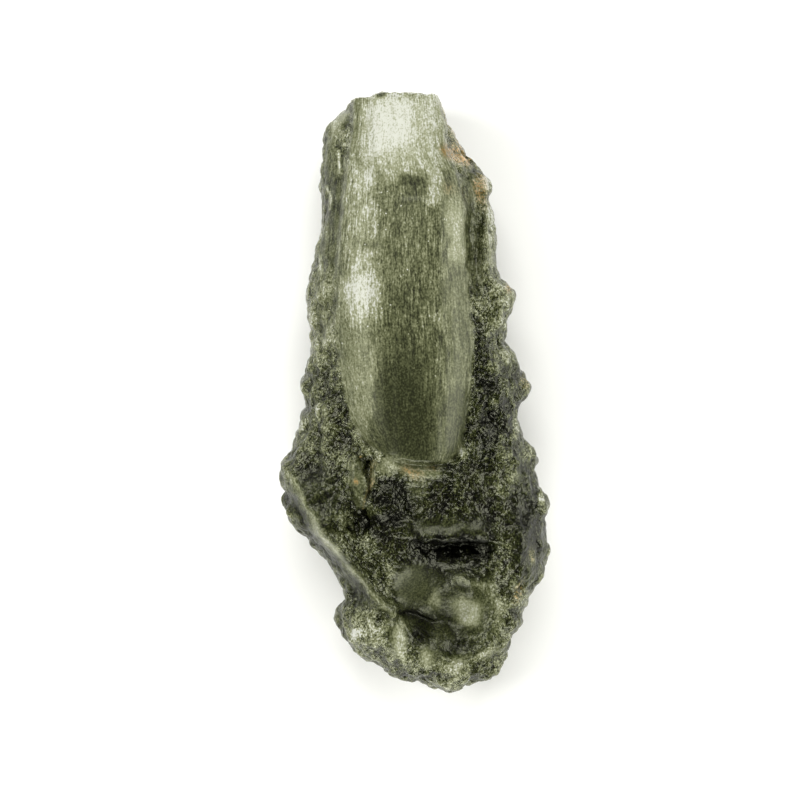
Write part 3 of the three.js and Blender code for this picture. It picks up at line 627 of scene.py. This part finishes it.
# The glass: plain IOR, transmission and absorption. Cells and heights are in mm.
glass = {
    "ior": 1.49,
    "transmission": 0.45,
    "absorptionColor": (0.50, 0.58, 0.34, 1.0),
    "absorptionDensity": 500.0,  # per metre
    "tones": [  # the ramp from black, for painted shade in the deepest hollows, to white, for frost and painted sheen
        (0.0, (0.000, 0.000, 0.000)), (0.25, (0.022, 0.027, 0.005)), (0.5, (0.130, 0.142, 0.065)),
        (0.75, (0.380, 0.395, 0.240)), (1.0, (0.910, 0.925, 0.880)),
    ],
    "rust": (1.0, 0.6, 0.3, 1.0),  # what the rust lets through
    "rustPatches": (3.0, 0.75),  # how strongly the grain breaks up the rust, and the rust's usual share
    # painted shade in the skin's hollows and painted light on its lumps, as much as the relief
    "reliefShade": 0.34,
    "noiseDetail": 1.0,
    "noiseShift": 7.0,  # how far each noise of a sum is moved from the one before it, in cells
    "flow": [  # (cells, change of tone)
        ((0.7, 1.1, 1.0), 0.2), ((0.3, 2.0, 1.0), 0.18), ((0.12, 1.5, 1.0), 0.34), ((0.11, 0.3, 1.0), 0.36),
    ],
    "dashes": {"cells": (0.2, 1.1, 1.0), "shift": 31.0, "span": (0.58, 0.72), "tone": -0.14},
    "grain": [((0.3, 0.4, 0.3), 0.1), ((0.11, 0.14, 0.11), 0.62)],
    "grainOnFace": 0.5,  # share of the grain that the polished face has
    "facets": [  # spread is the random change of tone, depth how much painted shade darkens the crevices
        {"cell": 0.27, "spread": 0.07, "depth": 0.3, "height": 0.06},
        {"cell": 0.6, "spread": 0.05, "depth": 0.26, "height": 0.08},
    ],
    "facetMiddle": 0.22,  # the usual squared distance from a facet's middle, in cells
    "specks": {"cell": 0.7, "radius": 0.08, "tone": 0.4},  # pale ones in the face, their radius in cells
    "flowHeight": 0.012,  # per unit of the noises' sum
    "grainHeight": 0.02,
    "roughness": (0.22, 0.42),  # on the etched skin, on the polished face
    "specularTint": (0.98, 1.0, 0.8, 1.0),
    "specular": {"tone": (-0.1, 0.36), "level": (0.05, 0.47)},  # etched hollows throw back less
}
mixColors = {"first": 6, "second": 7, "result": 2}  # the Mix node's sockets for colours


def addNode(tree, kind, **settings):
    node = tree.nodes.new(kind)
    for key, value in settings.items():
        setattr(node, key, value)
    return node


# joins a socket to an input, or sets the input's own value
def feed(tree, target, value):
    if isinstance(value, bpy.types.NodeSocket):
        tree.links.new(value, target)
    else:
        target.default_value = value


def mathOf(tree, operation, first, second, third=0.0, clamp=False):
    node = addNode(tree, "ShaderNodeMath", operation=operation, use_clamp=clamp)
    for target, value in zip(node.inputs, (first, second, third)):
        feed(tree, target, value)
    return node.outputs[0]


# a value carried over from one span to another, and held at the ends
def spanOf(tree, value, before, after, interpolation="LINEAR"):
    node = addNode(tree, "ShaderNodeMapRange", interpolation_type=interpolation)
    feed(tree, node.inputs["Value"], value)
    for socket, end in zip(("From Min", "From Max", "To Min", "To Max"), (*before, *after)):
        feed(tree, node.inputs[socket], end)
    return node.outputs[0]


def attributeOf(tree, name):
    return addNode(tree, "ShaderNodeAttribute", attribute_name=name).outputs["Fac"]


# noise over the piece's own millimetres, stretched by cell sizes
def noiseOf(tree, coordinates, cells, shift):
    mapping = addNode(tree, "ShaderNodeMapping")
    mapping.inputs["Scale"].default_value = [1.0 / (cell * millimetre) for cell in cells]
    mapping.inputs["Location"].default_value = (shift, shift, shift)
    tree.links.new(coordinates, mapping.inputs["Vector"])
    noise = addNode(tree, "ShaderNodeTexNoise")
    noise.inputs["Scale"].default_value = 1.0
    noise.inputs["Detail"].default_value = glass["noiseDetail"]
    tree.links.new(mapping.outputs[0], noise.inputs["Vector"])
    return noise.outputs["Fac"]


# a value from 0 to 1 taken as one from minus to plus an amount, and added to a total
def swingOf(tree, value, amount, total):
    swing = mathOf(tree, "SUBTRACT", value, 0.5)
    return mathOf(tree, "MULTIPLY_ADD", swing, 2.0 * amount, total)


# several noises added, each with its own amount
def noiseSum(tree, coordinates, layers):
    total = 0.0
    for number, (cells, amount) in enumerate(layers):
        noise = noiseOf(tree, coordinates, cells, glass["noiseShift"] * number)
        total = swingOf(tree, noise, amount, total)
    return total


# packed cells over the piece's own millimetres: the distance to the cell's middle, and its random value
def cellsOf(tree, coordinates, cell):
    cells = addNode(tree, "ShaderNodeTexVoronoi")
    cells.inputs["Scale"].default_value = 1.0 / (cell * millimetre)
    tree.links.new(coordinates, cells.inputs["Vector"])
    parts = addNode(tree, "ShaderNodeSeparateXYZ")
    tree.links.new(cells.outputs["Color"], parts.inputs[0])
    return cells.outputs["Distance"], parts.outputs[0]


# flow lines that follow the barrel face's edges: noises drawn out along the stone, and dark dashes
def flowOf(tree, place, streak):
    parts = addNode(tree, "ShaderNodeSeparateXYZ")
    tree.links.new(place, parts.inputs[0])
    lines = addNode(tree, "ShaderNodeCombineXYZ")
    feed(tree, lines.inputs["X"], mathOf(tree, "MULTIPLY", attributeOf(tree, "across"), millimetre))
    feed(tree, lines.inputs["Y"], parts.outputs["Y"])
    dashes = glass["dashes"]
    dashNoise = noiseOf(tree, lines.outputs[0], dashes["cells"], dashes["shift"])
    dark = spanOf(tree, dashNoise, dashes["span"], (0.0, dashes["tone"]), "SMOOTHSTEP")
    flow = mathOf(tree, "ADD", noiseSum(tree, lines.outputs[0], glass["flow"]), dark)
    return mathOf(tree, "MULTIPLY", flow, streak)


# the etched facets' changes of tone, a random one per facet and painted shade in the crevices between
# them, and their heights in mm
def facetsOf(tree, place):
    tones, heights = 0.0, 0.0
    for facet in glass["facets"]:
        away, value = cellsOf(tree, place, facet["cell"])
        hollow = mathOf(tree, "SUBTRACT", mathOf(tree, "MULTIPLY", away, away), glass["facetMiddle"])
        tones = swingOf(tree, value, facet["spread"], tones)
        tones = mathOf(tree, "MULTIPLY_ADD", hollow, -facet["depth"], tones)
        heights = mathOf(tree, "MULTIPLY_ADD", hollow, -facet["height"], heights)
    return tones, heights


# how pale the glass is: the painted tone, changed by flow lines, specks and grain, and by relief and
# facets, which paint shade into the skin's crevices and light onto its lumps
def toneOf(tree, place, streak, flow, grain, facets):
    relief, speckle = attributeOf(tree, "relief"), attributeOf(tree, "speckle")
    grainShare = mathOf(tree, "MULTIPLY_ADD", speckle, 1.0 - glass["grainOnFace"], glass["grainOnFace"])
    specks = glass["specks"]
    inSpeck = mathOf(tree, "LESS_THAN", cellsOf(tree, place, specks["cell"])[0], specks["radius"])
    changes = [
        flow,
        mathOf(tree, "MULTIPLY", mathOf(tree, "MULTIPLY", inSpeck, streak), specks["tone"]),
        mathOf(tree, "MULTIPLY", grain, grainShare),
        mathOf(tree, "MULTIPLY", facets, speckle),
    ]
    tone = mathOf(tree, "MULTIPLY_ADD", relief, glass["reliefShade"], attributeOf(tree, "tone"))
    for change in changes:
        tone = mathOf(tree, "ADD", tone, change)
    return tone


# the tone's colour on the ramp, multiplied by the rust where it is stained, in patches
def colorOf(tree, tone, grain):
    rampNode = addNode(tree, "ShaderNodeValToRGB")
    tree.links.new(tone, rampNode.inputs[0])
    ramp = rampNode.color_ramp
    while len(ramp.elements) < len(glass["tones"]):
        ramp.elements.new(0.5)  # its own place is set below
    for element, (position, color) in zip(ramp.elements, glass["tones"]):
        element.position = position
        element.color = (*color, 1.0)
    patchy = mathOf(tree, "MULTIPLY_ADD", grain, *glass["rustPatches"])
    rusty = addNode(tree, "ShaderNodeMix", data_type="RGBA", blend_type="MULTIPLY")
    stain = mathOf(tree, "MULTIPLY", attributeOf(tree, "stain"), patchy, clamp=True)
    feed(tree, rusty.inputs["Factor"], stain)
    feed(tree, rusty.inputs[mixColors["first"]], rampNode.outputs["Color"])
    feed(tree, rusty.inputs[mixColors["second"]], glass["rust"])
    return rusty.outputs[mixColors["result"]]


def glassMaterial():
    material = bpy.data.materials.new(stone["slot"])
    material.use_nodes = True
    tree = material.node_tree
    tree.nodes.clear()
    output = addNode(tree, "ShaderNodeOutputMaterial")
    shader = addNode(tree, "ShaderNodeBsdfPrincipled")
    tree.links.new(shader.outputs[0], output.inputs["Surface"])
    shader.inputs["Metallic"].default_value = 0.0
    shader.inputs["IOR"].default_value = glass["ior"]
    shader.inputs["Transmission Weight"].default_value = glass["transmission"]
    shader.inputs["Specular Tint"].default_value = glass["specularTint"]
    inside = addNode(tree, "ShaderNodeVolumeAbsorption")
    inside.inputs["Color"].default_value = glass["absorptionColor"]
    inside.inputs["Density"].default_value = glass["absorptionDensity"]
    tree.links.new(inside.outputs[0], output.inputs["Volume"])

    place = addNode(tree, "ShaderNodeTexCoord").outputs["Object"]
    polish, streak = attributeOf(tree, "polish"), attributeOf(tree, "streak")
    flow = flowOf(tree, place, streak)
    grain = noiseSum(tree, place, glass["grain"])
    facetTones, facetHeights = facetsOf(tree, place)
    tone = toneOf(tree, place, streak, flow, grain, facetTones)
    specular = spanOf(tree, attributeOf(tree, "tone"), glass["specular"]["tone"], glass["specular"]["level"])
    tree.links.new(colorOf(tree, tone, grain), shader.inputs["Base Color"])
    tree.links.new(specular, shader.inputs["Specular IOR Level"])
    tree.links.new(spanOf(tree, polish, (0.0, 1.0), glass["roughness"]), shader.inputs["Roughness"])

    etched = mathOf(tree, "MULTIPLY_ADD", grain, glass["grainHeight"], facetHeights)
    etched = mathOf(tree, "MULTIPLY", etched, mathOf(tree, "SUBTRACT", 1.0, polish))
    bump = addNode(tree, "ShaderNodeBump")
    bump.inputs["Distance"].default_value = millimetre
    feed(tree, bump.inputs["Height"], mathOf(tree, "MULTIPLY_ADD", flow, glass["flowHeight"], etched))
    tree.links.new(bump.outputs[0], shader.inputs["Normal"])
    return material


points, looks = carvedStone()
moldavite = poleMesh("moldavite_stone", points, looks)
moldavite.data.materials.append(glassMaterial())
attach(moldavite, stone["body"])
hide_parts(stone["node"])
print("stone made:", len(moldavite.data.polygons), "faces")

# The floor, the lamps and the camera, in metres, degrees and watts. The lens and the sensor are in mm, and
# view is how wide the picture is at the height that level gives.
floor = {
    "side": 1.2,
    "below": 0.00002,
    "color": (0.97, 0.97, 1.0, 1.0),
    "roughness": 0.9,
    "specular": 0.0,
}
softboxes = [
    {"name": "softbox_far", "turn": 90, "lean": 44, "away": 0.4, "size": (0.3, 0.22), "power": 1.2},
    {"name": "softbox_left", "turn": 172, "lean": 50, "away": 0.4, "size": (0.24, 0.16), "power": 1.0},
    {"name": "softbox_right", "turn": 0, "lean": 68, "away": 0.4, "size": (0.3, 0.2), "power": 1.2},
    {"name": "softbox_near", "turn": 270, "lean": 66, "away": 0.4, "size": (0.3, 0.2), "power": 1.4},
]
lampColor = (1.0, 1.0, 0.93)
surround = {"color": (0.95, 0.95, 0.85, 1.0), "strength": 0.13}
camera = {
    "lens": 100.0,
    "sensor": 36.0,
    "view": 0.056,
    "at": (-0.00105, -0.00042),
    "level": 0.0045,
    "clipStart": 0.01,
}


def floorPiece():
    half = floor["side"] / 2.0
    corners = [(-half, -half), (half, -half), (half, half), (-half, half)]
    mesh = bpy.data.meshes.new("floor")
    mesh.from_pydata([(x, y, -floor["below"]) for x, y in corners], [], [(0, 1, 2, 3)])
    material = bpy.data.materials.new("pale_floor")
    material.use_nodes = True
    shader = material.node_tree.nodes["Principled BSDF"]
    shader.inputs["Base Color"].default_value = floor["color"]
    shader.inputs["Roughness"].default_value = floor["roughness"]
    shader.inputs["Specular IOR Level"].default_value = floor["specular"]
    mesh.materials.append(material)
    piece = bpy.data.objects.new("floor", mesh)
    bpy.context.scene.collection.objects.link(piece)


def softboxLamp(box):
    lamp = bpy.data.lights.new(box["name"], "AREA")
    lamp.shape = "RECTANGLE"
    lamp.size, lamp.size_y = box["size"]
    lamp.energy = box["power"]
    lamp.color = lampColor
    turn, lean = math.radians(box["turn"]), math.radians(box["lean"])
    way = Vector((math.cos(turn) * math.sin(lean), math.sin(turn) * math.sin(lean), math.cos(lean)))
    piece = bpy.data.objects.new(box["name"], lamp)
    piece.location = way * box["away"]
    piece.rotation_euler = (-way).to_track_quat("-Z", "Y").to_euler()
    bpy.context.scene.collection.objects.link(piece)


floorPiece()
for box in softboxes:
    softboxLamp(box)
scene = bpy.context.scene
scene.world = bpy.data.worlds.new("surround")
scene.world.use_nodes = True
background = scene.world.node_tree.nodes["Background"]
background.inputs["Color"].default_value = surround["color"]
background.inputs["Strength"].default_value = surround["strength"]
scene.view_settings.view_transform = "Standard"

lens = bpy.data.cameras.new("camera")
lens.lens = camera["lens"]
lens.sensor_width = camera["sensor"]
lens.clip_start = camera["clipStart"]
eye = bpy.data.objects.new("camera", lens)
eye.location = (*camera["at"], camera["level"] + camera["view"] * camera["lens"] / camera["sensor"])
scene.collection.objects.link(eye)
scene.camera = eye
print("stage set:", len(softboxes), "softboxes")
